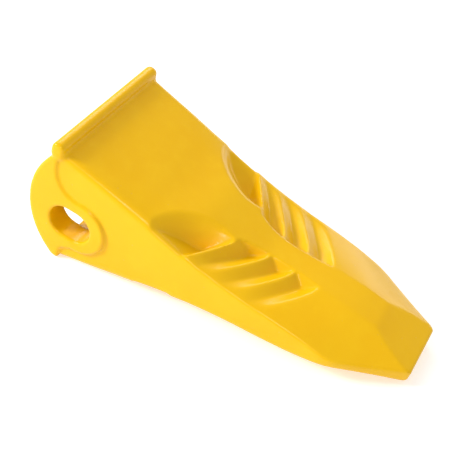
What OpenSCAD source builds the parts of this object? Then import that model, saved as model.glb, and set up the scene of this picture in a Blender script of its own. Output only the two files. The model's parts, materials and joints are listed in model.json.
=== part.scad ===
// Excavator bucket tooth: a cast, hollow tooth point with its cross pin and
// the ring that locks the pin. The tooth lies on its underside, tip along +X.
// The origin is the middle of the pin's axis, halfway between the two ears.
// Until lay() turns it, the casting is drawn along its own centreline:
// X from the rear of the top lip to the tip, Z = 0 on the mid-plane.

/* [Tooth point] */
// Length from the rear of the lip to the blunt tip
point_length = 257; // [250:1:264]
// Width of the blunt tip
tip_width = 45; // [40:1:50]
// Height of the blunt tip
tip_height = 8; // [6:0.5:9]
// Width over the two ears
ear_span = 114; // [113:0.5:116]
// Radius of the rounded raised lip along the rear top edge
lip_r = 4.5; // [4:0.1:5]
// Depth of the first scoop below its crest
scoop_depth = 10; // [6:0.5:11]

/* [Nose pocket] */
// Width of the pocket at its mouth, between the ears
pocket_width = 80; // [76:0.5:82]
// Depth from the rear of the lip to the seat that the adapter's nose bears on
pocket_depth = 88; // [80:1:90]
// Width of the flat seat at the end of the pocket
seat_width = 48; // [44:1:50]
// Height of the flat seat at the end of the pocket
seat_height = 24; // [20:1:25]

/* [Pin and retainer] */
// Diameter of the cross pin
pin_d = 24; // [23:0.1:24.2]
// Length of the cross pin
pin_length = 100; // [96:1:104]
// How far the pin stands back from its locked place, towards +Y
pin_drawn = 22; // [20:1:24]
// Width of each pin hole
hole_width = 24.6; // [24.5:0.1:25]
// Length of each pin hole, along the tooth
hole_length = 31; // [28:0.5:33]
// Outer diameter of the rubber cushion round the snap ring
cushion_d = 40; // [38:0.5:41]
// Depth of the seat that holds the cushion, in the +Y ear's inner face
cushion_seat = 6; // [5:0.5:7]

/* [Hidden] */
$fn = 64;
paint = [0.93, 0.72, 0.05];
steel = [0.42, 0.42, 0.44];
spring_steel = [0.20, 0.21, 0.24];
rubber = [0.08, 0.08, 0.08];

// The tooth lies on the rear edge of its underside and the flat of its spine,
// which are this many degrees off its centreline.
lie_pitch = 8.1;
pin_x = 21.8;
pin_z = -7.3;
ear_y = ear_span / 2;
ear_inner = pocket_width / 2;
pin_r = pin_d / 2;

// Rear end: the mouth leans forwards from the lip down to the underside.
mouth_top = [0, 46];
mouth_foot = [18, -44];

// Ear: a round cheek, and the raised pad's front edge round the pin hole
cheek_centre = [46, 5.5];
cheek_r = 57.5;
cheek_top = 39;
boss_centre = [27.5, -7];
boss_r = 20.5;
pad_front = 4.6;
upper_fillet = [25, 33.5, 20.2];
lower_fillet = [25.8, -36.2, 7.5];

// Lip bar along the rear top edge
lip_centre = [2.5, 46.2];
lip_low = 39;

// Inner and outer ends of the four crests between the scoops
crest_in = [[117, 19, 22], [139, 13.5, 18], [160, 13, 17], [178, 13, 17]];
crest_out = [[93, 53.6, 20], [116, 53, 15], [133, 52.6, 12.8], [155, 52.2, 10.4]];
// Where along a crest its scoop is deepest, how far behind the crest that is,
// and how much shallower each scoop is than the one before
hollow_share = 0.18;
hollow_back = 2.5;
hollow_step = 0.5;
crest_width = 1;
// Size of the broken edge round the blunt tip
tip_edge = 0.8;

function between(a, b, t) = a + (b - a) * t;
function scoop_at(k) = scoop_depth - hollow_step * k;
function hollow_point(k) = between(crest_in[k], crest_out[k], hollow_share)
    - [hollow_back, 0, scoop_at(k)];
function foot_station(k) = [
    crest_in[k] - [crest_width, -0.2, 0],
    hollow_point(k),
    crest_out[k] - [crest_width, 0, 0]
];
function crest_station(k) = [
    crest_in[k],
    between(crest_in[k], crest_out[k], hollow_share),
    crest_out[k]
];
// A station whose middle point lies a share of the way from spine to rim
function facet_station(a, b) = [a, between(a, b, hollow_share), b];

// Stations from the mouth to the tip: each holds the edge of the flat spine,
// the scoop's floor and the rim of the side face, in one quarter.
stations = concat(
    [
        [[-8, 50, 48], [-8, 54.5, 47.4], [-8, 56, 45.4]],
        [[40, 49, 37.4], [40, 53.4, 36.9], [40, 55, 34.8]],
        [[70, 49, 31], [70, 52.6, 30], [70, 54, 26.6]],
        [[84, 36, 29.6], [87, 44, 19.5], [78, 53.9, 24.4]],
        [[97, 26, 28], [100, 33, 14.5], [85, 53.7, 22.4]]
    ],
    [for (k = [0 : 3], crest = [false, true]) crest ? crest_station(k) : foot_station(k)],
    [
        facet_station([203, 12.6, 16], [196, 50.5, 5]),
        facet_station([226, 12, 12.5], [214, 47, 0.6]),
        [
            [point_length, tip_width / 2 - tip_edge, tip_height / 2],
            [point_length, tip_width / 2 - tip_edge / 4, tip_height / 2 - tip_edge / 4],
            [point_length, tip_width / 2, tip_height / 2 - tip_edge]
        ]
    ]
);

function flip_y(p) = [p[0], -p[1], p[2]];
function flip_z(p) = [p[0], p[1], -p[2]];
function turned(p) = flip_y(flip_z(p));
// The quarter's three points carried round all four quarters
function ring(s) = [
    s[0], s[1], s[2],
    flip_z(s[2]), flip_z(s[1]), flip_z(s[0]),
    turned(s[0]), turned(s[1]), turned(s[2]),
    flip_y(s[2]), flip_y(s[1]), flip_y(s[0])
];
ring_count = 12;

// Two triangles of the patch between ring i, ring i + 1 and points j, j + 1,
// split the same way in all four quarters
function patch(i, j) = let (
    next = (j + 1) % ring_count,
    a = i * ring_count + j,
    b = i * ring_count + next,
    c = (i + 1) * ring_count + next,
    d = (i + 1) * ring_count + j,
    mirrored = floor(j / 3) % 2 == 1
) mirrored ? [[a, b, d], [b, c, d]] : [[a, b, c], [a, c, d]];

// Outer skin of the tooth, without ears, lip or pocket
module skin() {
    rings = len(stations);
    points = [for (s = stations) each ring(s)];
    sides = [for (i = [0 : rings - 2], j = [0 : ring_count - 1]) each patch(i, j)];
    rear = [for (j = [ring_count - 1 : -1 : 0]) j];
    front = [for (j = [0 : ring_count - 1]) (rings - 1) * ring_count + j];
    polyhedron(points = points, faces = concat(sides, [rear, front]), convexity = 6);
}

// An outline drawn in X and Z, as thick as from y0 to y1
module side_slab(y0, y1) {
    translate([0, y1, 0])
        rotate([90, 0, 0])
            linear_extrude(height = y1 - y0)
                children();
}

// Space behind the leaning mouth, which the skin is cut back to
module behind_mouth() {
    side_slab(-70, 70)
        polygon([mouth_top + [0, 20], mouth_top, mouth_foot, mouth_foot - [0, 20], [-40, -64], [-40, 66]]);
}

// Round rear outline of an ear
module cheek_outline() {
    intersection() {
        translate(cheek_centre) circle(r = cheek_r);
        polygon([[-14, cheek_top], [6, cheek_top], [44, 32], [44, -30], [17, -42], [-14, -42]]);
    }
}

// Outline of the raised pad: a strip behind the pad's front edge, the boss
// round the pin hole, and a hollow fillet above and below the boss
module pad_outline() {
    intersection() {
        cheek_outline();
        union() {
            translate(boss_centre) circle(r = boss_r);
            difference() {
                polygon([
                    [-14, 48], [pad_front, 48], [pad_front, upper_fillet[1]],
                    [upper_fillet[0], upper_fillet[1]],
                    [boss_centre[0], boss_centre[1] + boss_r],
                    [boss_centre[0], boss_centre[1] - boss_r],
                    [lower_fillet[0], lower_fillet[1]],
                    [lower_fillet[0] - lower_fillet[2], lower_fillet[1]],
                    [lower_fillet[0] - lower_fillet[2], -48], [-14, -48]
                ]);
                translate([upper_fillet[0], upper_fillet[1]]) circle(r = upper_fillet[2]);
                translate([lower_fillet[0], lower_fillet[1]]) circle(r = lower_fillet[2]);
            }
        }
    }
}

// Both ears with their raised pads
module ears() {
    for (y0 = [-ear_y, ear_inner - 2])
        side_slab(y0, y0 + ear_y - ear_inner + 2) pad_outline();
}

// Rounded bar along the rear top edge, full width, with its foot on the ears
module lip() {
    side_slab(-ear_y, ear_y) {
        translate(lip_centre) circle(r = lip_r);
        translate([lip_centre[0] - lip_r, lip_low])
            square([2 * lip_r, lip_centre[1] - lip_low]);
    }
}

// Space for the adapter's nose: it narrows in height all the way and in width
// past the ears, down to the flat seat
module nose_pocket() {
    reach = 30;
    taper_from = 45;
    mouth_height = 36;
    slope = (mouth_height - seat_height / 2) / pocket_depth;
    high = mouth_height + reach * slope;
    intersection() {
        side_slab(-ear_inner, ear_inner)
            polygon([
                [-reach, high], [pocket_depth, seat_height / 2],
                [pocket_depth, -seat_height / 2], [-reach, -high]
            ]);
        translate([0, 0, -60])
            linear_extrude(height = 120)
                polygon([
                    [-reach, ear_inner], [taper_from, ear_inner],
                    [pocket_depth, seat_width / 2], [pocket_depth, -seat_width / 2],
                    [taper_from, -ear_inner], [-reach, -ear_inner]
                ]);
    }
}

// A round bar along Y on the pin's axis
module on_axis(r, y0, y1) {
    translate([pin_x, y1, pin_z])
        rotate([90, 0, 0])
            cylinder(r = r, h = y1 - y0);
}

// Slotted pin hole through both ears: two round ends and the flats between
module pin_slot() {
    half_run = (hole_length - hole_width) / 2;
    for (dx = [-half_run, half_run])
        translate([dx, 0, 0]) on_axis(hole_width / 2, -ear_y - 2, ear_y + 2);
    translate([pin_x - half_run, -ear_y - 2, pin_z - hole_width / 2])
        cube([2 * half_run, ear_span + 4, hole_width]);
}

// Turns the casting so that it lies on its underside, pin axis at the origin
module lay() {
    rotate([0, lie_pitch, 0])
        translate([-pin_x, 0, -pin_z])
            children();
}

module tooth_point() {
    color(paint)
        lay()
            difference() {
                union() {
                    difference() {
                        skin();
                        behind_mouth();
                    }
                    lip();
                    ears();
                }
                nose_pocket();
                pin_slot();
                on_axis(cushion_d / 2, ear_inner - 1, ear_inner + cushion_seat);
            }
}

// Cross pin, drawn back towards +Y from its locked place
module retaining_pin() {
    chamfer = 2;
    groove_w = 7;
    groove_r = pin_r - 1.5;
    groove_middle = ear_inner + cushion_seat / 2 + pin_drawn;
    y0 = pin_drawn - pin_length / 2;
    y1 = pin_drawn + pin_length / 2;
    color(steel)
        lay()
            translate([pin_x, 0, pin_z])
                rotate([-90, 0, 0])
                    rotate_extrude()
                        polygon([
                            [0, y0], [pin_r - chamfer, y0], [pin_r, y0 + chamfer],
                            [pin_r, groove_middle - groove_w / 2 - 1.5],
                            [groove_r, groove_middle - groove_w / 2],
                            [groove_r, groove_middle + groove_w / 2],
                            [pin_r, groove_middle + groove_w / 2 + 1.5],
                            [pin_r, y1 - chamfer], [pin_r - chamfer, y1], [0, y1]
                        ]);
}

// Spring-steel ring with a gap, sprung open round the pin's shank
module retainer_snap_ring() {
    ring_gap = 5;
    ring_r = 15.5;
    color(spring_steel)
        lay()
            difference() {
                on_axis(ring_r, ear_inner + 0.3, ear_inner + cushion_seat - 0.3);
                on_axis(pin_r + 0.08, ear_inner - 1, ear_inner + cushion_seat + 1);
                translate([pin_x - ring_gap / 2, ear_inner - 1, pin_z + 5])
                    cube([ring_gap, cushion_seat + 2, ring_r]);
            }
}

// Rubber ring that fills the seat round the snap ring
module retainer_cushion() {
    color(rubber)
        lay()
            difference() {
                on_axis(cushion_d / 2, ear_inner + 0.1, ear_inner + cushion_seat);
                on_axis(15.5, ear_inner - 1, ear_inner + cushion_seat + 1);
            }
}

tooth_point();
retaining_pin();
retainer_snap_ring();
retainer_cushion();
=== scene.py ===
"""Excavator bucket tooth: a painted casting with its cross pin, snap ring and rubber cushion.

The casting is worked out along its own centreline in millimetres: x runs from the rear of the
top lip to the tip, y across and z = 0 on the mid-plane. CentreLine turns that into the row frame.
"""
import itertools
import json
import logging
import math
from dataclasses import dataclass, field
from enum import Enum
from typing import Callable, Optional, Sequence, Union

import bpy
import numpy as np
from mathutils import Matrix, Vector


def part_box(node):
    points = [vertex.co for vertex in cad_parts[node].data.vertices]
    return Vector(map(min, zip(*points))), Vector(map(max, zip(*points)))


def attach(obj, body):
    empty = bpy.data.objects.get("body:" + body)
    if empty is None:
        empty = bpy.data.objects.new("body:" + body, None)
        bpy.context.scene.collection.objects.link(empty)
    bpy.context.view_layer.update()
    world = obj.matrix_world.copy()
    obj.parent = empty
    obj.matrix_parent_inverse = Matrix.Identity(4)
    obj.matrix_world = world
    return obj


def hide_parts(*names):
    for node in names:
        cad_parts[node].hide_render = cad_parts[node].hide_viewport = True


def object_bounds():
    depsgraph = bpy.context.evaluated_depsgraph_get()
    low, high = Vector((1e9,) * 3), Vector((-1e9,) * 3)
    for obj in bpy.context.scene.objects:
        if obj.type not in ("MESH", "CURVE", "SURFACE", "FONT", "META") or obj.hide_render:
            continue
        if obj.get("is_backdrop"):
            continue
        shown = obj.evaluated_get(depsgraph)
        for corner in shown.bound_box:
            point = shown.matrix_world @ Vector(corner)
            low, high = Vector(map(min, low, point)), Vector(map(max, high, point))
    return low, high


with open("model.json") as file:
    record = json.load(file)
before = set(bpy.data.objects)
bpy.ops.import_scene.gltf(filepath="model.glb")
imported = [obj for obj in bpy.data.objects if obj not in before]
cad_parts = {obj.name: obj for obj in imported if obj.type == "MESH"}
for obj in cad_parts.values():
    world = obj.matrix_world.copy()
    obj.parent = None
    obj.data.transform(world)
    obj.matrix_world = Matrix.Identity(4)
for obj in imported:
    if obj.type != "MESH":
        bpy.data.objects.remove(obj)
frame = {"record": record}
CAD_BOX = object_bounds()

Array = np.ndarray
Knots = Sequence[tuple[float, float]]
Field = Callable[[Array, Array, Array], Array]

log = logging.getLogger("bucket_tooth")
MM = 0.001


class Body(Enum):
    """The rigid bodies that pieces ride on."""

    TOOTH = "tooth"
    PIN = "pin"


# ---------------------------------------------------------------- curves and blends


def smooth_curve(x: Array, knots: Knots, softness: float = 5.0) -> Array:
    """Straight runs between the knots, with each corner rounded.

    The polyline is sampled every half unit and averaged under a bell whose width is softness.

    Args:
        x: Places at which the curve is wanted.
        knots: Pairs of place and value, in order.
        softness: Standard deviation of the averaging bell, in the units of x.

    Returns:
        The curve's value at each x.
    """
    step = 0.5
    places, values = np.array(knots, float).T
    margin = 4 * softness
    dense = np.arange(places[0], places[-1] + step, step)
    run = np.interp(dense, places, values)
    reach = int(margin / step)
    lead = run[0] + (run[0] - run[1]) * np.arange(reach, 0, -1)
    tail = run[-1] + (run[-1] - run[-2]) * np.arange(1, reach + 1)
    offsets = np.arange(-reach, reach + 1) * step
    bell = np.exp(-0.5 * (offsets / softness) ** 2)
    soft = np.convolve(np.concatenate([lead, run, tail]), bell / bell.sum(), mode="valid")
    return np.interp(x, dense, soft)


def soft_min(a: Array, b: Array, width: float) -> Array:
    """The smaller of a and b, eased by a parabola where they differ by less than width."""
    gap = np.maximum(width - np.abs(a - b), 0.0) / width
    return np.minimum(a, b) - gap * gap * width / 4


def soft_max(a: Array, b: Array, width: float) -> Array:
    """The larger of a and b, eased by a parabola where they differ by less than width."""
    return -soft_min(-a, -b, width)


def round_max(a: Array, b: Array, radius: Union[float, Array]) -> Array:
    """The overlap of two regions, with the outer corner between them rounded to a radius."""
    corner = np.hypot(np.maximum(radius + a, 0), np.maximum(radius + b, 0))
    return np.minimum(-radius, np.maximum(a, b)) + corner


def round_min(a: Array, b: Array, radius: Union[float, Array]) -> Array:
    """The sum of two regions, with the inner corner between them filled to a radius."""
    return -round_max(-a, -b, radius)


# ---------------------------------------------------------------- meshes


@dataclass(frozen=True)
class CentreLine:
    """How the casting's own centreline lies in the row frame.

    The pin's axis is the row frame's origin, and the casting is pitched nose down about it.
    """

    pin_x: float = 21.8
    pin_z: float = -7.3
    pitch: float = math.radians(8.1)

    @staticmethod
    def from_seat(axis: Sequence[float]) -> "CentreLine":
        """Reads the pitch from the direction in which the adapter's nose leaves the seat."""
        return CentreLine(pitch=math.atan2(axis[2], -axis[0]))

    def turn(self) -> Array:
        """The rotation from the casting's axes to the row frame's."""
        c, s = math.cos(self.pitch), math.sin(self.pitch)
        return np.array([[c, 0, s], [0, 1, 0], [-s, 0, c]])

    def to_row(self, points: Array) -> Array:
        """Carries points in millimetres along the centreline to metres in the row frame."""
        return (points - [self.pin_x, 0, self.pin_z]) @ self.turn().T * MM


def add_mesh(name: str, points: Array, faces: Sequence[Array],
             smooth: bool = True) -> bpy.types.Object:
    """Puts whole arrays of points and faces into one new object at the origin.

    Args:
        name: The piece's name.
        points: One row of x, y, z in metres for each vertex.
        faces: Arrays of vertex numbers, each with one row a face, all of one length in an array.
        smooth: Whether the faces are shaded as one curved surface.

    Returns:
        The new object.
    """
    mesh = bpy.data.meshes.new(name)
    sizes = np.concatenate([np.full(len(f), f.shape[1]) for f in faces])
    loops = np.concatenate([np.asarray(f, np.int32).ravel() for f in faces])
    mesh.vertices.add(len(points))
    mesh.vertices.foreach_set("co", np.asarray(points, np.float32).ravel())
    mesh.loops.add(len(loops))
    mesh.loops.foreach_set("vertex_index", loops)
    mesh.polygons.add(len(sizes))
    starts = np.concatenate([[0], np.cumsum(sizes)[:-1]]).astype(np.int32)
    mesh.polygons.foreach_set("loop_start", starts)
    mesh.polygons.foreach_set("use_smooth", np.full(len(sizes), smooth))
    mesh.update(calc_edges=True)
    mesh.validate()
    piece = bpy.data.objects.new(name, mesh)
    bpy.context.scene.collection.objects.link(piece)
    return piece


def dress(piece: bpy.types.Object, material: bpy.types.Material, body: Body, node: str) -> bpy.types.Object:
    """Gives a piece its finish and its part in the assembly.

    Args:
        piece: The finished piece.
        material: The finish that it wears.
        body: The rigid body that it rides on.
        node: The CAD node that it stands for.

    Returns:
        The same piece.
    """
    piece.data.materials.append(material)
    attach(piece, body.value)
    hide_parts(node)
    return piece


class SurfaceNet:
    """A closed skin of four-sided faces where a field is zero, inside being below zero.

    PROBE and LONGEST_MOVE are in cells. LEAST_STEEP is the squared slope under which a move
    isn't lengthened any more, and EVENING is how much of its way to its neighbours' mean a point
    goes.
    """

    PROBE: float = 0.04
    LONGEST_MOVE: float = 0.5
    LEAST_STEEP: float = 0.05
    EVENING: float = 0.5

    def __init__(self, field_of: Field, low: Sequence[float], high: Sequence[float],
                 step: float) -> None:
        """Takes the field, the box to search and the size of its cells.

        Args:
            field_of: The field, as a function of whole arrays of x, y and z.
            low: Lowest corner of the box to search.
            high: Highest corner of the box.
            step: Side of a cell.
        """
        self.field_of = field_of
        self.low = np.array(low, float)
        self.step = step
        axes = [np.arange(a, b + step, step) for a, b in zip(low, high)]
        self.values = field_of(*np.meshgrid(*axes, indexing="ij"))
        self.inside = self.values < 0

    def cells(self) -> tuple[Array, Array]:
        """Finds the cells that the skin crosses.

        Returns:
            Each such cell's place in the grid, and a grid that holds each cell's vertex number.
        """
        parts = [self.inside[tuple(slice(d, n - 1 + d) for d, n in zip(shift, self.inside.shape))]
                 for shift in itertools.product((0, 1), repeat=3)]
        corners = sum(part.astype(np.int8) for part in parts)
        active = (corners > 0) & (corners < 8)
        numbers = np.full(active.shape, -1, np.int64)
        places = np.argwhere(active)
        numbers[active] = np.arange(len(places))
        return places, numbers

    def points(self, places: Array) -> Array:
        """Puts one vertex in each cell, at the middle of the places where its edges cross zero.

        Args:
            places: Each crossed cell's place in the grid.

        Returns:
            One point for each cell.
        """
        total = np.zeros((len(places), 3))
        count = np.zeros(len(places))
        for axis in range(3):
            u, v = (axis + 1) % 3, (axis + 2) % 3
            for du, dv in itertools.product((0, 1), repeat=2):
                start = places.copy()
                start[:, u] += du
                start[:, v] += dv
                end = start.copy()
                end[:, axis] += 1
                a, b = self.values[tuple(start.T)], self.values[tuple(end.T)]
                hit = (a < 0) != (b < 0)
                share = np.where(hit, a / np.where(hit, a - b, 1), 0)
                spot = start.astype(float)
                spot[:, axis] += share
                total += spot * hit[:, None]
                count += hit
        return self.low + self.step * total / count[:, None]

    def quads(self, numbers: Array) -> Array:
        """Joins the four cells round each crossed grid edge, facing outwards.

        Args:
            numbers: Each cell's vertex number, as cells gives them.

        Returns:
            Rows of four vertex numbers.
        """
        found = []
        for axis in range(3):
            u, v = (axis + 1) % 3, (axis + 2) % 3
            near = np.moveaxis(self.inside, (axis, u, v), (0, 1, 2))
            cell = np.moveaxis(numbers, (axis, u, v), (0, 1, 2))
            crossed = np.argwhere(near[:-1, 1:-1, 1:-1] != near[1:, 1:-1, 1:-1])
            i, j, k = crossed[:, 0], crossed[:, 1] + 1, crossed[:, 2] + 1
            quad = np.stack([cell[i, j - 1, k - 1], cell[i, j, k - 1], cell[i, j, k],
                             cell[i, j - 1, k]], axis=1)
            outward = near[i, j, k]
            quad[~outward] = quad[~outward][:, ::-1]
            found.append(quad)
        return np.concatenate(found)

    def settle(self, points: Array, rounds: int = 3) -> Array:
        """Moves each point along the field's slope until the field there is zero.

        Args:
            points: Points near the skin.
            rounds: How many moves each point makes.

        Returns:
            The points on the skin.
        """
        reach = self.PROBE * self.step
        for _ in range(rounds):
            x, y, z = points.T
            slope = np.stack([
                self.field_of(x + reach, y, z) - self.field_of(x - reach, y, z),
                self.field_of(x, y + reach, z) - self.field_of(x, y - reach, z),
                self.field_of(x, y, z + reach) - self.field_of(x, y, z - reach),
            ], axis=1) / (2 * reach)
            steep = np.maximum((slope * slope).sum(axis=1), self.LEAST_STEEP)
            move = -(self.field_of(x, y, z) / steep)[:, None] * slope
            length = np.maximum(np.linalg.norm(move, axis=1), 1e-9)
            points = points + move * np.minimum(1, self.LONGEST_MOVE * self.step / length)[:, None]
        return points

    @classmethod
    def relax(cls, points: Array, quads: Array) -> Array:
        """Moves each point towards the mean of the points that it shares an edge with.

        Args:
            points: The skin's points.
            quads: The skin's faces.

        Returns:
            The evened points, a little off the skin.
        """
        total, count = np.zeros_like(points), np.zeros(len(points))
        for a in range(4):
            for b in ((a + 1) % 4, (a + 3) % 4):
                for c in range(3):
                    total[:, c] += np.bincount(quads[:, a], points[quads[:, b], c], len(points))
                count += np.bincount(quads[:, a], minlength=len(points))
        return (1 - cls.EVENING) * points + cls.EVENING * total / count[:, None]

    @staticmethod
    def knit(points: Array, quads: Array) -> tuple[Array, list[Array]]:
        """Closes the few short edges that more than two faces share.

        Both ends of such an edge become one vertex at its middle, and a face that had the edge
        becomes a triangle, so that each edge left over has a face on each side.

        Args:
            points: The skin's points.
            quads: The skin's faces.

        Returns:
            The points that are still used, and the face arrays.
        """
        ends = np.stack([quads, np.roll(quads, -1, axis=1)], axis=2).reshape(-1, 2)
        ends = np.sort(ends, axis=1)
        edges, uses = np.unique(ends, axis=0, return_counts=True)
        first, second = edges[uses > 2].T
        points[first] = (points[first] + points[second]) / 2
        merged = np.arange(len(points))
        merged[second] = first
        quads = merged[merged[quads]]
        same = quads == np.roll(quads, -1, axis=1)
        broken = same.any(axis=1)
        turns = same[broken].argmax(axis=1)[:, None] + [1, 2, 3]
        faces = [quads[~broken], np.take_along_axis(quads[broken], turns % 4, axis=1)]
        used, numbers = np.unique(np.concatenate([f.ravel() for f in faces]), return_inverse=True)
        whole = faces[0].size
        return points[used], [numbers[:whole].reshape(-1, 4), numbers[whole:].reshape(-1, 3)]

    def build(self, relaxations: int = 2) -> tuple[Array, list[Array]]:
        """Makes the whole skin.

        Args:
            relaxations: How often the points are evened out and put back on the skin.

        Returns:
            The points in the field's own units, and the face arrays.
        """
        places, numbers = self.cells()
        points = self.settle(self.points(places))
        quads = self.quads(numbers)
        for _ in range(relaxations):
            points = self.settle(self.relax(points, quads), rounds=2)
        return self.knit(points, quads)


def ring_surface(section: Array, start: float, end: float,
                 steps: int) -> tuple[Array, list[Array]]:
    """Carries a closed section round the pin's axis.

    A point of the section at radius r and place y goes to (r cos a, y, r sin a) as the
    angle a runs from start to end. Over a full turn the last ring joins the first, and otherwise
    each end is closed by a flat face.

    Args:
        section: Rows of radius and place along y, running clockwise with y to the right.
        start: First angle in radians.
        end: Last angle in radians.
        steps: Number of steps between them.

    Returns:
        The points and the face arrays.
    """
    full = math.isclose(end - start, 2 * math.pi)
    angles = np.linspace(start, end, steps + 1)[: steps if full else steps + 1]
    r, y = section.T
    a = angles[:, None]
    places = np.broadcast_to(y, (len(angles), len(y)))
    points = np.stack([r * np.cos(a), places, r * np.sin(a)], axis=2)
    rings, sides = len(angles), len(section)
    i, j = np.meshgrid(np.arange(rings if full else rings - 1), np.arange(sides), indexing="ij")
    i, j = i.ravel(), j.ravel()
    i2, j2 = (i + 1) % rings, (j + 1) % sides
    faces = [np.stack([i * sides + j, i * sides + j2, i2 * sides + j2, i2 * sides + j], axis=1)]
    if not full:
        first = np.arange(sides)
        faces += [first[None, ::-1], (first + (rings - 1) * sides)[None]]
    return points.reshape(-1, 3), faces


def lathe(profile: Array, steps: int) -> tuple[Array, list[Array]]:
    """Turns a profile about the pin's axis, closed at both poles.

    A point of the profile at radius r and place y goes to (r cos a, y, r sin a) for
    angles a all round. The first and last points lie on the axis and become one vertex each.

    Args:
        profile: Rows of radius and place along y, with y rising.
        steps: Number of steps round the turn.

    Returns:
        The points and the face arrays.
    """
    angles = np.arange(steps) * 2 * math.pi / steps
    r, y = profile[1:-1].T
    a = angles[None, :]
    places = np.repeat(y[:, None], steps, 1)
    body = np.stack([r[:, None] * np.cos(a), places, r[:, None] * np.sin(a)], axis=2)
    poles = np.array([[0, profile[0, 1], 0], [0, profile[-1, 1], 0]])
    points = np.concatenate([body.reshape(-1, 3), poles])
    rings = len(r)
    i, j = np.meshgrid(np.arange(rings - 1), np.arange(steps), indexing="ij")
    i, j = i.ravel(), j.ravel()
    j2 = (j + 1) % steps
    quads = np.stack([i * steps + j, (i + 1) * steps + j, (i + 1) * steps + j2, i * steps + j2],
                     axis=1)
    k = np.arange(steps)
    k2 = (k + 1) % steps
    low, high, last = rings * steps, rings * steps + 1, (rings - 1) * steps
    caps = [np.stack([np.full(steps, low), k, k2], axis=1),
            np.stack([np.full(steps, high), last + k2, last + k], axis=1)]
    return points, [quads, np.concatenate(caps)]


def rounded_profile(corners: Sequence[tuple[float, float]], radius: float, steps: int = 5) -> Array:
    """Rounds each inner corner of an open polyline with a quadratic curve.

    Args:
        corners: Rows of radius and place.
        radius: How far from a corner its rounding starts, at most a third of the run beside it.
        steps: Number of steps in each rounding.

    Returns:
        The rounded polyline.
    """
    longest = 1 / 3
    knots = np.array(corners, float)
    t = np.linspace(0, 1, steps + 1)[:, None]
    parts = [knots[:1]]
    for before, corner, after in zip(knots, knots[1:], knots[2:]):
        back, ahead = before - corner, after - corner
        p = corner + back * min(radius / np.linalg.norm(back), longest)
        q = corner + ahead * min(radius / np.linalg.norm(ahead), longest)
        parts.append((1 - t) ** 2 * p + 2 * t * (1 - t) * corner + t**2 * q)
    parts.append(knots[-1:])
    return np.concatenate(parts)


# ---------------------------------------------------------------- shader maths

Value = Union["Sock", float]


class Sock:
    """An output socket of a node tree, with the arithmetic that the finishes use."""

    def __init__(self, tree: "Tree", socket: bpy.types.NodeSocket) -> None:
        """Wraps one output socket of a tree."""
        self.tree = tree
        self.socket = socket

    def _math(self, operation: str, a: Value, b: Value) -> "Sock":
        """Adds one Math node."""
        return self.tree.node("ShaderNodeMath", {"operation": operation}, {0: a, 1: b})

    def __add__(self, other: Value) -> "Sock":
        """Sum."""
        return self._math("ADD", self, other)

    def __radd__(self, other: Value) -> "Sock":
        """Sum with the number first."""
        return self._math("ADD", other, self)

    def __sub__(self, other: Value) -> "Sock":
        """Difference."""
        return self._math("SUBTRACT", self, other)

    def __rsub__(self, other: Value) -> "Sock":
        """Difference with the number first."""
        return self._math("SUBTRACT", other, self)

    def __mul__(self, other: Value) -> "Sock":
        """Product."""
        return self._math("MULTIPLY", self, other)

    def __rmul__(self, other: Value) -> "Sock":
        """Product with the number first."""
        return self._math("MULTIPLY", other, self)

    def above(self, low: float, high: float) -> "Sock":
        """A mask that rises smoothly from 0 at low to 1 at high."""
        return self.tree.node("ShaderNodeMapRange", {"interpolation_type": "SMOOTHSTEP"},
                              {"Value": self, "From Min": low, "From Max": high})


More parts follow.
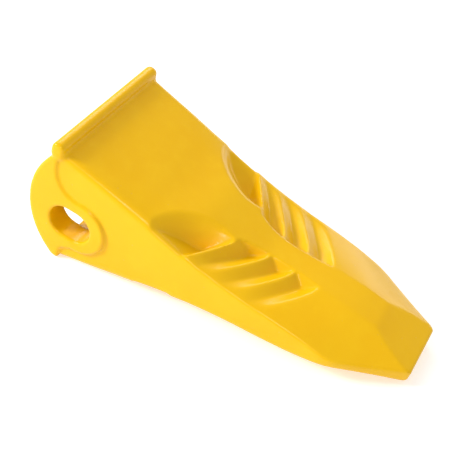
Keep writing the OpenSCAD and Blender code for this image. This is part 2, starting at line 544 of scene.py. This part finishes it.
class Tree:
    """A material's node tree with one Principled shader on its output."""

    def __init__(self, name: str) -> None:
        """Makes an empty material of that name.

        Args:
            name: The material's name.
        """
        self.material = bpy.data.materials.new(name)
        self.material.use_nodes = True
        self.nodes = self.material.node_tree.nodes
        self.nodes.clear()
        self.links = self.material.node_tree.links
        self.shader = self.nodes.new("ShaderNodeBsdfPrincipled")
        output = self.nodes.new("ShaderNodeOutputMaterial")
        self.links.new(self.shader.outputs[0], output.inputs[0])

    def put(self, socket: bpy.types.NodeSocket, value: object) -> None:
        """Links a Sock to an input, or sets the input to a plain value.

        Args:
            socket: The input to feed.
            value: A Sock, a number, a colour or a vector.
        """
        if isinstance(value, Sock):
            self.links.new(value.socket, socket)
        else:
            socket.default_value = value

    def node(self, kind: str, settings: dict, values: dict, output: Union[int, str] = 0) -> Sock:
        """Adds a node.

        Args:
            kind: The node's type.
            settings: Its own settings, set first.
            values: What goes into its sockets, by name or number.
            output: Which output to hand back.

        Returns:
            The chosen output.
        """
        made = self.nodes.new(kind)
        for key, value in settings.items():
            setattr(made, key, value)
        for key, value in values.items():
            self.put(made.inputs[key], value)
        return Sock(self, made.outputs[output])

    def place(self) -> Sock:
        """Object coordinates."""
        return self.node("ShaderNodeTexCoord", {}, {}, "Object")

    def noise(self, scale: float, detail: float = 3.0, roughness: float = 0.5,
              stretch: tuple = (1, 1, 1)) -> Sock:
        """Fractal noise on Object coordinates, about 0 to 1.

        Args:
            scale: Features a metre.
            detail: Number of finer layers.
            roughness: Strength of the finer layers.
            stretch: Scale along each axis, to draw the pattern out.

        Returns:
            The noise's value.
        """
        where = self.node("ShaderNodeMapping", {}, {"Vector": self.place(), "Scale": stretch})
        return self.node("ShaderNodeTexNoise", {}, {
            "Vector": where, "Scale": scale, "Detail": detail, "Roughness": roughness})

    def blend(self, mask: Value, first: object, second: object) -> Sock:
        """A colour that goes from the first to the second as the mask goes from 0 to 1."""
        return self.node("ShaderNodeMix", {"data_type": "RGBA"}, {0: mask, 6: first, 7: second}, 2)

    def bump(self, height: Sock, distance: float, strength: float,
             under: Optional[Sock] = None) -> Sock:
        """Bends the normal by a height.

        Args:
            height: The height, about 0 to 1.
            distance: What a height of 1 is worth, in metres.
            strength: How much of the bend is kept.
            under: A coarser bump that this one is laid over.

        Returns:
            The bent normal.
        """
        values = {"Height": height, "Distance": distance, "Strength": strength}
        if under is not None:
            values["Normal"] = under
        return self.node("ShaderNodeBump", {}, values)

    def finish(self, **sockets: object) -> bpy.types.Material:
        """Feeds the shader's sockets, named with underscores for spaces.

        Args:
            **sockets: What goes into each of its sockets.

        Returns:
            The finished material.
        """
        for key, value in sockets.items():
            self.put(self.shader.inputs[key.replace("_", " ")], value)
        return self.material


def rgba(colour: Sequence[float]) -> tuple[float, float, float, float]:
    """A colour with full opacity."""
    return (colour[0], colour[1], colour[2], 1.0)


@dataclass(frozen=True)
class YellowEnamel:
    """Glossy yellow enamel sprayed on a cast steel surface.

    Scales are in features a metre and depths in metres. Each patch pair is the range of a noise
    over which its mask rises from 0 to 1.
    """

    colour: tuple = (0.80, 0.455, 0.003)
    thick: tuple = (0.81, 0.475, 0.004)
    thin: tuple = (0.78, 0.430, 0.002)
    speck: tuple = (0.60, 0.32, 0.01)
    roughness: float = 0.23
    shine: float = 0.2
    drift_scale: float = 22.0
    cloud_scale: float = 95.0
    grain_scale: float = 620.0
    peel_scale: float = 1500.0
    pit_scale: float = 150.0
    thin_patch: tuple = (0.35, 0.68)
    thick_patch: tuple = (0.45, 0.78)
    pit_size: tuple = (0.045, 0.10)
    pit_patch: tuple = (0.52, 0.60)
    float_depth: float = 0.00045
    sand_grain: float = 0.00010
    peel_depth: float = 0.000022

    def material(self) -> bpy.types.Material:
        """Builds the enamel: uneven thickness, orange peel, sand-cast grain and a few specks.

        Returns:
            The enamel.
        """
        t = Tree("yellow_enamel")
        drift = t.noise(self.drift_scale, 4, 0.55)
        cloud = t.noise(self.cloud_scale, 4, 0.6)
        grain = t.noise(self.grain_scale, 4, 0.55)
        peel = t.noise(self.peel_scale, 2, 0.5)
        pits = t.node("ShaderNodeTexVoronoi", {"feature": "F1"}, {
            "Vector": t.place(), "Scale": self.pit_scale, "Randomness": 1.0})
        speck = (1 - pits.above(*self.pit_size)) * t.noise(48, 2).above(*self.pit_patch)
        colour = t.blend(drift.above(*self.thin_patch), rgba(self.thin), rgba(self.colour))
        colour = t.blend(cloud.above(*self.thick_patch) * 0.6, colour, rgba(self.thick))
        colour = t.blend(speck * 0.35, colour, rgba(self.speck))
        rough = self.roughness + (cloud - 0.5) * 0.12 + speck * 0.25 + (grain - 0.5) * 0.08
        wave = t.bump(drift, self.float_depth, 0.8)
        sand = t.bump(grain, self.sand_grain, 0.75, wave)
        skin = t.bump(peel, self.peel_depth, 0.6, sand)
        dents = t.bump(1 - speck, self.sand_grain, 0.8, skin)
        return t.finish(Base_Color=colour, Roughness=rough, Metallic=0.0, IOR=1.5,
                        Specular_IOR_Level=self.shine, Coat_Weight=0.0, Normal=dents)


@dataclass(frozen=True)
class OiledSteel:
    """Turned and heat-treated steel with a thin film of oil."""

    light: tuple = (0.36, 0.35, 0.35)
    dark: tuple = (0.13, 0.125, 0.13)
    straw: tuple = (0.30, 0.22, 0.13)
    roughness: float = 0.30
    turning_scale: float = 2600.0
    turning_stretch: tuple = (0.02, 1.0, 0.02)
    turning_depth: float = 0.00003
    scuff_scale: float = 160.0
    scuff_stretch: tuple = (1.0, 0.12, 1.0)
    scuff_depth: float = 0.00008
    tint_scale: float = 40.0

    def material(self) -> bpy.types.Material:
        """Builds the steel: turning marks round the axis, heat tint and drawn-out scuffs.

        Returns:
            The steel.
        """
        t = Tree("oiled_steel")
        turning = t.noise(self.turning_scale, 2, 0.5, self.turning_stretch)
        scuff = t.noise(self.scuff_scale, 4, 0.65, self.scuff_stretch)
        tint = t.noise(self.tint_scale, 3, 0.5)
        colour = t.blend(scuff.above(0.40, 0.72), rgba(self.dark), rgba(self.light))
        colour = t.blend(tint.above(0.50, 0.75) * 0.6, colour, rgba(self.straw))
        rough = self.roughness + (scuff - 0.5) * 0.30 + (turning - 0.5) * 0.12
        marks = t.bump(turning, self.turning_depth, 0.6)
        dents = t.bump(scuff, self.scuff_depth, 0.5, marks)
        return t.finish(Base_Color=colour, Roughness=rough, Metallic=0.95, Normal=dents)


@dataclass(frozen=True)
class BluedSpring:
    """Blued spring steel."""

    blue: tuple = (0.06, 0.075, 0.12)
    bare: tuple = (0.32, 0.31, 0.30)
    roughness: float = 0.34
    rub_scale: float = 210.0
    scratch_scale: float = 1400.0
    scratch_depth: float = 0.00004

    def material(self) -> bpy.types.Material:
        """Builds the spring steel: a dark blue oxide, rubbed bright in patches.

        Returns:
            The spring steel.
        """
        t = Tree("blued_spring")
        rub = t.noise(self.rub_scale, 4, 0.6)
        colour = t.blend(rub.above(0.52, 0.72), rgba(self.blue), rgba(self.bare))
        rough = self.roughness + (rub - 0.5) * 0.25
        marks = t.bump(t.noise(self.scratch_scale, 3, 0.6), self.scratch_depth, 0.5)
        return t.finish(Base_Color=colour, Roughness=rough, Metallic=0.9, Normal=marks)


@dataclass(frozen=True)
class MouldedRubber:
    """Black moulded rubber."""

    black: tuple = (0.018, 0.018, 0.019)
    dusty: tuple = (0.060, 0.056, 0.050)
    roughness: float = 0.62
    dust_scale: float = 130.0
    grain_scale: float = 2200.0
    grain_depth: float = 0.00006

    def material(self) -> bpy.types.Material:
        """Builds the rubber: matte black with a trace of dust and a fine grain.

        Returns:
            The rubber.
        """
        t = Tree("moulded_rubber")
        dust = t.noise(self.dust_scale, 4, 0.6)
        colour = t.blend(dust.above(0.48, 0.80) * 0.7, rgba(self.black), rgba(self.dusty))
        rough = self.roughness + (dust - 0.5) * 0.25
        grain = t.bump(t.noise(self.grain_scale, 3, 0.6), self.grain_depth, 0.6)
        return t.finish(Base_Color=colour, Roughness=rough, Metallic=0.0, Normal=grain)


# ---------------------------------------------------------------- the casting


@dataclass
class ToothCasting:
    """The tooth point: one steel casting, drawn in millimetres along its centreline."""

    line: CentreLine
    length: float = 257.0
    half_ears: float = 57.0
    grid_step: float = 1.3
    search_low: tuple = (-15.1, -60.3, -47.9)
    search_high: tuple = (260.0, 60.4, 54.0)

    # Height of the flat spine, and of the rim where the top meets the side
    spine: Knots = ((-30, 51.8), (0, 45.8), (44, 36.6), (72, 30.8), (97, 27.6), (117, 22.8),
                    (139, 18.3), (160, 17.1), (178, 17.0), (205, 15.8), (226, 13.2), (300, 4.6))
    rim: Knots = ((-30, 52.4), (0, 46.0), (44, 35.8), (72, 28.0), (84, 23.6), (99, 19.3),
                  (115, 16.0), (138, 12.7), (159, 10.7), (182, 8.1), (196, 5.3), (214, 1.0),
                  (300, -22.0))
    # Half the width of the spine between the scoops, and half the width over the sides
    spine_half: Knots = ((97, 26.0), (108, 22.5), (117, 18.6), (121, 16.4), (126, 13.4),
                         (131, 11.6), (141, 9.8), (150, 9.2), (160, 9.4), (172, 10.6),
                         (182, 11.4), (203, 12.0), (226, 12.0), (300, 12.0))
    side_half: Knots = ((-30, 57.0), (0, 55.8), (31, 54.9), (72, 54.0), (128, 52.8), (160, 52.0),
                        (214, 50.0), (300, 47.0))
    # How round the edge between the top and the side is, along the casting
    top_edge: Knots = ((0, 4.5), (60, 5.5), (105, 2.6), (200, 2.0), (230, 1.2))

    # Tip: where the sides draw in, where the top facet starts, and the blunt end
    shoulder: tuple = (214.0, 47.0)
    shoulder_round: float = 4.0
    facet_from: tuple = (226.0, 12.8)
    facet_round: float = 0.4
    tip_half: float = 22.5
    tip_high: float = 4.0
    tip_round: float = 1.3

    # Crests between the scoops: where each meets the spine, and how they lean and curl back
    crests: tuple = (121.0, 142.8, 161.5, 179.9)
    crest_round: float = 0.9
    crest_seam: float = 0.8
    lean: float = 0.67
    curl: float = 3.5
    curl_reach: float = 5.0

    # Scoops: depth by the spine, how it runs out to the rim, and the foot's place and roundness
    scoop_depths: tuple = (7.8, 7.2, 6.6)
    run_out: float = 0.8
    scoop_foot: float = 0.52
    foot_round: float = 0.15
    swell: float = 0.45
    swell_limit: float = 1.6
    spine_wall_slope: float = 1.7
    spine_wall_round: float = 1.6

    # First scoop: its arched rear wall, in plan, and the walls and edge round it
    crown_from: float = 28.0
    arch_centre: tuple = (113.0, 59.0)
    arch_radius: float = 40.5
    arch_slope: float = 1.15
    first_wall_slope: float = 1.0
    first_wall_round: float = 2.2
    rim_wall_slope: float = 0.34
    rim_wall_round: float = 3.0
    arch_edge_round: float = 4.0
    arch_edge_runs: tuple = (12.0, 7.0)

    # Ears, raised pads and pin holes
    cheek_centre: tuple = (46.0, 5.5)
    cheek_radius: float = 57.5
    cheek_top: float = 38.8
    cheek_foot: float = -42.2
    cheek_round: float = 1.5
    pad_front: float = 4.6
    pad_round: float = 0.6
    boss_centre: tuple = (27.5, -7.0)
    boss_radius: float = 20.5
    upper_fillet: tuple = (25.0, 33.5, 20.3)
    lower_fillet: tuple = (25.8, -36.2, 7.5)
    ear_round: float = 1.6
    ear_fillet: float = 1.0
    ear_overlap: float = 4.0
    hole_half_run: float = 3.2
    hole_radius: float = 12.3
    hole_round: float = 1.3

    # Seat for the retainer, in the inner face of one ear
    seat_radius: float = 20.0
    seat_floor: float = 46.0
    seat_overlap: float = 6.0
    seat_round: float = 0.5

    # Pocket for the adapter's nose
    pocket_half_mouth: float = 40.0
    pocket_depth: float = 88.0
    pocket_taper_from: float = 45.0
    pocket_half_seat: float = 24.0
    pocket_high_mouth: float = 36.0
    pocket_high_seat: float = 12.0
    pocket_corner: float = 5.0
    pocket_foot: float = 3.0
    pocket_round: float = 1.8

    # Mouth and lip
    mouth_top: tuple = (0.0, 46.0)
    mouth_foot: tuple = (18.0, -44.0)
    mouth_round: float = 2.0
    lip_middle: tuple = (2.5, 44.8)
    lip_half: tuple = (4.6, 5.9)
    lip_round: float = 4.2
    lip_end_round: float = 2.2
    lip_fillet: float = 2.4
    finish: YellowEnamel = field(default_factory=YellowEnamel)

    def crest_height(self, along: Array, share: Array) -> Array:
        """Height of the crests' level, on straight leaning lines from the spine to the rim.

        The spine's height at the line's inner end is mixed with the rim's height at its outer
        end, which lies further back by the lean.

        Args:
            along: Where the leaning line meets the spine's edge.
            share: 0 at the spine's edge and 1 at the rim.

        Returns:
            The height above the mid-plane.
        """
        inner = smooth_curve(along, self.spine)
        width = smooth_curve(along, self.side_half) - smooth_curve(along, self.spine_half)
        outer = smooth_curve(along - self.lean * width, self.rim)
        return inner * (1 - share) + outer * share

    def scoop(self, k: int, along: Array, over: Array, share: Array) -> Array:
        """Depth of the scoop between crest k and the next, below the crests' level.

        The ground falls from crest k to a rounded foot and rises again to the next crest. It is
        deepest by the spine, where a steep wall bounds it, and runs out towards the rim.

        Args:
            k: Number of the crest behind the scoop.
            along: Where the leaning line meets the spine's edge.
            over: Distance out from the spine's edge, below zero on the spine.
            share: 0 at the spine's edge and 1 at the rim.

        Returns:
            The depth, below zero outside the scoop.
        """
        rear, front = self.crests[k], self.crests[k + 1]
        deep = self.scoop_depths[k] * np.clip(1 - share, 0, 1) ** self.run_out
        run = front - rear
        falling = (along - rear) / (self.scoop_foot * run)
        rising = (front - along) / ((1 - self.scoop_foot) * run)
        swollen = rising * (1 + self.swell - self.swell * np.minimum(rising, self.swell_limit))
        groove = deep * soft_min(falling, np.where(rising > 0, swollen, rising), self.foot_round)
        return soft_min(groove, over * self.spine_wall_slope, self.spine_wall_round)

    def rear_height(self, x: Array, y: Array, along: Array, share: Array) -> Array:
        """Height of the top behind the first crest, with the long first scoop in it.

        The top is the spine's height, crowned down to the rim. Inside the arch the ground falls
        away as a bowl, bounded in front by the first crest's wall and outside by the rim's. Its
        edge is rounded, and less so near the crest and the rim.

        Args:
            x: Places along the casting.
            y: Distances from the middle.
            along: Where the leaning line meets the spine's edge.
            share: 0 at the spine's edge and 1 at the rim.

        Returns:
            The height above the mid-plane.
        """
        spine, rim = smooth_curve(x, self.spine), smooth_curve(x, self.rim)
        half = smooth_curve(x, self.side_half)
        crown = np.clip((y - self.crown_from) / (half - self.crown_from), 0, 1.2) ** 2
        top = spine - (spine - rim) * crown
        first = self.crests[0]
        level = self.crest_height(np.full_like(along, first), share)
        crest_wall = level - (first - along) * self.first_wall_slope
        rim_wall = rim - (half - y) * self.rim_wall_slope
        inward = self.arch_radius - np.hypot(x - self.arch_centre[0], y - self.arch_centre[1])
        arch = top - inward * self.arch_slope
        bowl = soft_max(soft_max(arch, crest_wall, self.first_wall_round), rim_wall,
                        self.rim_wall_round)
        by_crest = np.clip((first - along) / self.arch_edge_runs[0], 0.05, 1)
        by_rim = np.clip((half - y) / self.arch_edge_runs[1], 0.05, 1)
        return soft_min(top, bowl, self.arch_edge_round * by_crest * by_rim)

    def height(self, x: Array, y: Array) -> Array:
        """Half the height of the casting at x and at a distance y from its middle.

        Args:
            x: Places along the casting.
            y: Distances from the middle, not below zero.

        Returns:
            The height of the top above the mid-plane, scoops and tip facet included.
        """
        guess = x + self.lean * np.maximum(y - smooth_curve(x, self.spine_half), 0)
        edge = smooth_curve(guess, self.spine_half)
        over = np.maximum(y - edge, 0)
        along = x + self.lean * over - self.curl * (1 - np.exp(-over / self.curl_reach))
        share = np.clip(over / (smooth_curve(x, self.side_half) - edge), 0, 1.15)
        front = self.crest_height(along, share)
        depth = np.zeros_like(x)
        for k in range(len(self.crests) - 1):
            scoop = self.scoop(k, along, y - edge, share)
            depth = np.maximum(depth, soft_max(scoop, depth, self.crest_round))
        front = front - depth
        back = self.rear_height(x, y, along, share)
        blend = np.clip((along - self.crests[0]) / self.crest_seam + 0.5, 0, 1)
        ground = back * (1 - blend) + front * blend
        start, high = self.facet_from
        facet = high - (x - start) * (high - self.tip_high) / (self.length - start)
        return soft_min(ground, facet, self.facet_round)

    def side(self, x: Array) -> Array:
        """Half the width over the sides: nearly straight, then drawn in past the shoulder.

        Args:
            x: Places along the casting.

        Returns:
            The distance from the middle to the side.
        """
        start, half = self.shoulder
        drawn = half - (x - start) * (half - self.tip_half) / (self.length - start)
        return soft_min(smooth_curve(x, self.side_half), drawn, self.shoulder_round)

    def pad_outline(self, x: Array, z: Array) -> Array:
        """Distance outside the raised pad's outline, seen from the side.

        The pad is the strip behind its front edge, the round boss and the corners that the
        upper and lower hollow fillets leave between them.

        Args:
            x: Places along the casting.
            z: Heights above the mid-plane.

        Returns:
            The distance, below zero on the pad.
        """
        middle = self.boss_centre[1]
        boss = np.hypot(x - self.boss_centre[0], z - middle) - self.boss_radius
        ux, uz, ur = self.upper_fillet
        lx, lz, lr = self.lower_fillet
        strip = np.where(z > middle, x - self.pad_front, x - lx + lr)
        upper = np.maximum.reduce([ur - np.hypot(x - ux, z - uz), x - ux, z - uz, middle - z])
        lower = np.maximum.reduce([lr - np.hypot(x - lx, z - lz), x - lx, lz - z, z - middle])
        return np.minimum.reduce([boss, strip, upper, lower])

    def ears(self, x: Array, y: Array, z: Array) -> Array:
        """Both ears and their raised pads, bounded behind by a round cheek.

        Args:
            x: Places along the casting.
            y: Distances from the middle, not below zero.
            z: Heights above the mid-plane.

        Returns:
            The distance outside, below zero in an ear.
        """
        centre_x, centre_z = self.cheek_centre
        cheek = np.hypot(x - centre_x, z - centre_z) - self.cheek_radius
        cheek = round_max(cheek, z - self.cheek_top, self.cheek_round)
        cheek = round_max(cheek, self.cheek_foot - z, self.cheek_round)
        outline = round_max(cheek, self.pad_outline(x, z), self.pad_round)
        ear = round_max(outline, y - self.half_ears, self.ear_round)
        return round_max(ear, self.pocket_half_mouth - self.ear_overlap - y, self.ear_fillet)

    def lip(self, x: Array, y: Array, z: Array) -> Array:
        """The rounded bar along the rear top edge.

        Args:
            x: Places along the casting.
            y: Distances from the middle, not below zero.
            z: Heights above the mid-plane.

        Returns:
            The distance outside, below zero in the lip.
        """
        across = round_max(np.abs(x - self.lip_middle[0]) - self.lip_half[0],
                           np.abs(z - self.lip_middle[1]) - self.lip_half[1], self.lip_round)
        return round_max(across, y - self.half_ears, self.lip_end_round)

    def mouth(self, x: Array, z: Array) -> Array:
        """Distance behind the leaning plane that ends the casting's walls.

        Args:
            x: Places along the casting.
            z: Heights above the mid-plane.

        Returns:
            The distance, above zero behind the plane.
        """
        top_x, top_z = self.mouth_top
        dx, dz = self.mouth_foot[0] - top_x, self.mouth_foot[1] - top_z
        return ((x - top_x) * dz - (z - top_z) * dx) / math.hypot(dx, dz)

    def pocket(self, x: Array, y: Array, z: Array) -> Array:
        """The space for the adapter's nose: below zero inside it.

        Args:
            x: Places along the casting.
            y: Distances from the middle, not below zero.
            z: Heights above the mid-plane.

        Returns:
            The distance outside, below zero in the pocket.
        """
        fall = (self.pocket_high_mouth - self.pocket_high_seat) / self.pocket_depth
        high = self.pocket_high_mouth - fall * x
        taper_run = self.pocket_depth - self.pocket_taper_from
        taper = (self.pocket_half_mouth - self.pocket_half_seat) / taper_run
        half = self.pocket_half_mouth - taper * np.maximum(x - self.pocket_taper_from, 0)
        walls = round_max(y - half, np.abs(z) - high, self.pocket_corner)
        return round_max(walls, x - self.pocket_depth, self.pocket_foot)

    def hole(self, x: Array, z: Array) -> Array:
        """The slotted pin hole: below zero inside it."""
        run = np.maximum(np.abs(x - self.line.pin_x) - self.hole_half_run, 0)
        return np.hypot(run, z - self.line.pin_z) - self.hole_radius

    def solid(self, x: Array, y: Array, z: Array) -> Array:
        """The whole casting: below zero inside the steel.

        The tapered body is cut by the mouth and the blunt tip, the ears and the lip are added
        with small fillets, and the pocket, pin holes and retainer seat are taken away.

        Args:
            x: Places along the casting.
            y: Places across it.
            z: Heights above the mid-plane.

        Returns:
            The distance outside the steel, near its skin.
        """
        out = np.abs(y)
        edge = np.interp(x, *zip(*self.top_edge))
        steel = round_max(np.abs(z) - self.height(x, out), out - self.side(x), edge)
        steel = round_max(steel, x - self.length, self.tip_round)
        steel = round_max(steel, self.mouth(x, z), self.mouth_round)
        steel = round_min(steel, self.ears(x, out, z), self.ear_fillet)
        steel = round_min(steel, self.lip(x, out, z), self.lip_fillet)
        steel = round_max(steel, -self.pocket(x, out, z), self.pocket_round)
        steel = round_max(steel, -self.hole(x, z), self.hole_round)
        seat = np.hypot(x - self.line.pin_x, z - self.line.pin_z) - self.seat_radius
        inner = self.pocket_half_mouth - self.seat_overlap
        seat = np.maximum.reduce([seat, y - self.seat_floor, inner - y])
        return round_max(steel, -seat, self.seat_round)

    def build(self) -> bpy.types.Object:
        """Makes the casting's mesh and dresses it.

        Returns:
            The casting.
        """
        net = SurfaceNet(self.solid, self.search_low, self.search_high, self.grid_step)
        points, faces = net.build()
        piece = add_mesh("cast_tooth_point", self.line.to_row(points), faces)
        return dress(piece, self.finish.material(), Body.TOOTH, "tooth_point")


# ---------------------------------------------------------------- pin and retainer


@dataclass
class PinSet:
    """The cross pin, its snap ring and the rubber cushion, all about the pin's axis.

    Sizes are in metres in the row frame, where the pin's axis is y through the origin. An ease
    is how far from a corner its rounding starts.
    """

    chamfer: float = 0.002
    pin_ease: float = 0.0005
    mark_radius: float = 0.0022
    mark_depth: float = 0.0016
    groove_width: float = 0.007
    groove_depth: float = 0.0015
    groove_flank: float = 0.0012
    seat_middle: float = 0.043
    drawn: float = 0.022
    ring_gap: float = math.radians(22)
    gap_at: float = math.radians(112)
    ring_clearance: float = 0.00008
    ring_ease: float = 0.0006
    cushion_ease: float = 0.0011
    cushion_bulge: float = 0.0005
    pin_steps: int = 96
    ring_steps: int = 90
    cushion_steps: int = 120
    steel: OiledSteel = field(default_factory=OiledSteel)
    spring: BluedSpring = field(default_factory=BluedSpring)
    rubber: MouldedRubber = field(default_factory=MouldedRubber)

    @staticmethod
    def radius_of(node: str) -> float:
        """Half the height of a node's box."""
        low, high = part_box(node)
        return (high.z - low.z) / 2

    def pin(self) -> bpy.types.Object:
        """Turns the pin: chamfered ends with a centre mark, a straight shank and one groove.

        Returns:
            The pin.
        """
        low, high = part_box("retaining_pin")
        r, c = self.radius_of("retaining_pin"), self.chamfer
        groove, half = self.seat_middle + self.drawn, self.groove_width / 2
        flank, deep = self.groove_flank, r - self.groove_depth
        profile = rounded_profile([
            (0, low.y + self.mark_depth), (self.mark_radius, low.y), (r - c, low.y),
            (r, low.y + c), (r, groove - half - flank), (deep, groove - half),
            (deep, groove + half), (r, groove + half + flank), (r, high.y - c),
            (r - c, high.y), (self.mark_radius, high.y), (0, high.y - self.mark_depth),
        ], self.pin_ease)
        piece = add_mesh("cross_pin", *lathe(profile, self.pin_steps))
        return dress(piece, self.steel.material(), Body.PIN, "retaining_pin")

    def snap_ring(self) -> bpy.types.Object:
        """Bends the snap ring: a flat section with eased corners, carried round to its gap.

        Returns:
            The snap ring.
        """
        low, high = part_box("retainer_snap_ring")
        outer = self.radius_of("retainer_snap_ring")
        inner = self.radius_of("retaining_pin") + self.ring_clearance
        loop = self._loop(inner, outer, low.y, high.y, self.ring_ease)
        start = self.gap_at + self.ring_gap / 2
        end = start + 2 * math.pi - self.ring_gap
        piece = add_mesh("snap_ring", *ring_surface(loop, start, end, self.ring_steps))
        return dress(piece, self.spring.material(), Body.TOOTH, "retainer_snap_ring")

    def cushion(self) -> bpy.types.Object:
        """Moulds the cushion: a soft ring that bulges a little at the face that is in view.

        Returns:
            The cushion.
        """
        low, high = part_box("retainer_cushion")
        outer, inner = self.radius_of("retainer_cushion"), self.radius_of("retainer_snap_ring")
        loop = self._loop(inner, outer, low.y, high.y, self.cushion_ease)
        across = np.clip((loop[:, 0] - inner) / (outer - inner), 0, 1)
        in_view = loop[:, 1] < (low.y + high.y) / 2
        loop[:, 1] -= self.cushion_bulge * np.sin(across * math.pi) * in_view
        piece = add_mesh("rubber_cushion", *ring_surface(loop, 0, 2 * math.pi, self.cushion_steps))
        return dress(piece, self.rubber.material(), Body.TOOTH, "retainer_cushion")

    @staticmethod
    def _loop(inner: float, outer: float, low: float, high: float, ease: float) -> Array:
        """A closed four-sided section with eased corners, with points along its sides.

        Args:
            inner: Inner radius.
            outer: Outer radius.
            low: Lowest place along y.
            high: Highest place along y.
            ease: How far from a corner its rounding starts.

        Returns:
            Rows of radius and place, clockwise with y to the right.
        """
        start = (inner, (low + high) / 2)
        corners = [start, (inner, low), (outer, low), (outer, high), (inner, high), start]
        return rounded_profile(corners, ease)[:-1]

    def build(self) -> list[bpy.types.Object]:
        """Makes all three pieces."""
        return [self.pin(), self.snap_ring(), self.cushion()]


# ---------------------------------------------------------------- studio


@dataclass(frozen=True)
class SoftBox:
    """One large studio lamp, aimed at the tooth."""

    name: str
    place: tuple
    size: tuple
    power: float

    def build(self, aim: Vector) -> None:
        """Hangs the lamp and turns it to the aim.

        Args:
            aim: The point that it lights.
        """
        lamp = bpy.data.lights.new(self.name, "AREA")
        lamp.shape = "RECTANGLE"
        lamp.size, lamp.size_y = self.size
        lamp.energy = self.power
        holder = bpy.data.objects.new(self.name, lamp)
        holder.location = self.place
        holder.rotation_euler = (aim - Vector(self.place)).to_track_quat("-Z", "Y").to_euler()
        bpy.context.scene.collection.objects.link(holder)


@dataclass(frozen=True)
class Studio:
    """Camera, floor and light."""

    line: CentreLine
    eye: tuple = (219.48, -467.63, 466.60)
    right: tuple = (0.84528, 0.46455, 0.26399)
    forward: tuple = (-0.17245, 0.70481, -0.68811)
    lens: float = 80.06
    sensor: float = 36.0
    nearest: float = 0.01
    floor_half: float = 6.0
    floor_gap: float = 0.0001
    paper_dark: tuple = (0.76, 0.76, 0.75)
    paper_light: tuple = (0.80, 0.80, 0.79)
    glow: float = 0.38
    sky: float = 0.60
    wall: float = 1.05
    lamps: tuple = (
        SoftBox("key", (-1.56, -1.03, 1.14), (0.55, 0.55), 43.0),
        SoftBox("back", (-0.75, 1.28, 1.22), (1.1, 0.6), 11.0),
        SoftBox("far", (0.35, 1.70, 0.35), (1.6, 0.5), 6.0),
        SoftBox("front", (0.50, -1.15, 1.08), (0.20, 0.20), 4.5),
    )

    def camera(self) -> None:
        """Sets up the camera from its place and directions along the casting's centreline."""
        turn = self.line.turn()
        right, ahead = turn @ np.array(self.right), turn @ np.array(self.forward)
        right, ahead = right / np.linalg.norm(right), ahead / np.linalg.norm(ahead)
        up = np.cross(right, ahead)
        place = self.line.to_row(np.array(self.eye))
        lens = bpy.data.cameras.new("camera")
        lens.lens = self.lens
        lens.sensor_width = self.sensor
        lens.clip_start = self.nearest
        holder = bpy.data.objects.new("camera", lens)
        rows = [[right[k], up[k], -ahead[k], place[k]] for k in range(3)] + [[0, 0, 0, 1]]
        holder.matrix_world = Matrix(rows)
        bpy.context.scene.collection.objects.link(holder)
        bpy.context.scene.camera = holder

    def floor(self) -> None:
        """Lays a plain pale floor just under the lowest piece."""
        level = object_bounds()[0].z - self.floor_gap
        h = self.floor_half
        corners = np.array([[-h, -h, level], [h, -h, level], [h, h, level], [-h, h, level]])
        floor = add_mesh("floor", corners, [np.array([[0, 1, 2, 3]])], smooth=False)
        paper = Tree("pale_paper")
        shade = paper.noise(3, 2).above(0.2, 0.8)
        colour = paper.blend(shade, rgba(self.paper_dark), rgba(self.paper_light))
        floor.data.materials.append(paper.finish(
            Base_Color=colour, Roughness=0.9, Emission_Color=(1, 1, 1, 1),
            Emission_Strength=self.glow))
        floor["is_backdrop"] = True

    def light(self) -> None:
        """Lights the room evenly from the sky, shows it as a white wall, and adds the lamps."""
        world = bpy.data.worlds.new("room")
        bpy.context.scene.world = world
        world.use_nodes = True
        nodes, links = world.node_tree.nodes, world.node_tree.links
        room = nodes["Background"]
        room.inputs["Color"].default_value = (1.0, 1.0, 1.0, 1.0)
        rays, level = nodes.new("ShaderNodeLightPath"), nodes.new("ShaderNodeMapRange")
        level.inputs["To Min"].default_value = self.sky
        level.inputs["To Max"].default_value = self.wall
        links.new(rays.outputs["Is Camera Ray"], level.inputs["Value"])
        links.new(level.outputs[0], room.inputs["Strength"])
        low, high = (Vector(corner) for corner in CAD_BOX)
        for lamp in self.lamps:
            lamp.build((low + high) / 2)

    def build(self) -> None:
        """Sets the whole studio up."""
        self.camera()
        self.floor()
        self.light()
        bpy.context.scene.view_settings.view_transform = "Standard"


def main() -> None:
    """Builds the studio and every piece, and reports each one."""
    logging.basicConfig(level=logging.INFO, format="%(name)s: %(message)s")
    seat = next(m for m in frame["record"]["mounts"] if m["name"] == "nose_seat")
    line = CentreLine.from_seat(seat["axis"])
    pieces = [ToothCasting(line).build(), *PinSet().build()]
    Studio(line).build()
    for piece in pieces:
        log.info("%s has %d faces", piece.name, len(piece.data.polygons))


if __name__ == "__main__":
    main()
